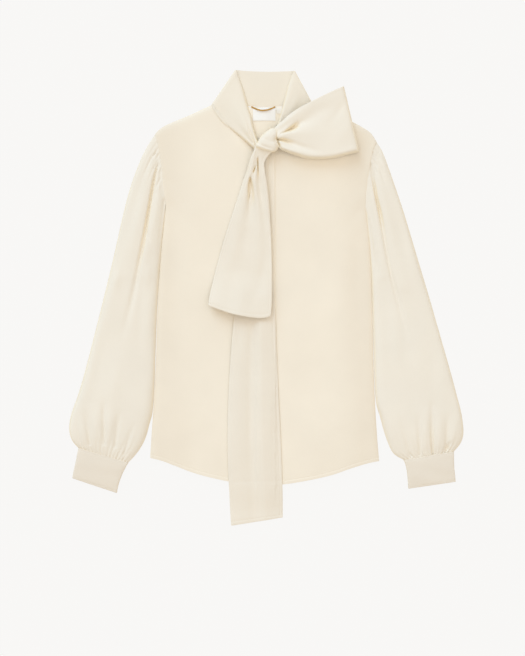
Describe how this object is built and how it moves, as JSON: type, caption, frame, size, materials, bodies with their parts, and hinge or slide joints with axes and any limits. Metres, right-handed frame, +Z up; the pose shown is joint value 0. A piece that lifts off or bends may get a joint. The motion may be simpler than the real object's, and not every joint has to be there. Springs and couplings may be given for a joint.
{
  "type": "tie neck blouse",
  "caption": "Long-sleeved blouse laid flat, front up: folded collar band tied in a one-loop bow, hidden-button placket, full sleeves gathered into narrow cuffs, curved hem.",
  "frame": {"origin": "middle of the blouse's footprint, on the surface it lies on", "axes": "+Z up out of the surface, +Y from hem to neck, +X towards the wearer's left"},
  "size_m": [0.7094, 0.8206, 0.0284],
  "materials": {
    "crepe": "matt ivory crepe, fine pebbled weave",
    "crepe_band": "the same crepe doubled, in collar, ties, placket and cuffs",
    "label_white": "smooth white satin ribbon, bare",
    "cord_gold": "thin golden-brown cord with a slight sheen"
  },
  "bodies": {
    "root": {"back": "crepe", "front_right": "crepe", "front_left": "crepe", "placket": "crepe_band", "sleeve_right": "crepe", "sleeve_left": "crepe", "cuff_right": "crepe_band", "cuff_left": "crepe_band", "collar_band": "crepe_band", "bow_loop": "crepe_band", "knot": "crepe_band", "short_tail": "crepe_band", "long_tail": "crepe_band", "label": "label_white", "size_tab": "label_white", "hanger_loop": "cord_gold"}
  },
  "joints": []
}
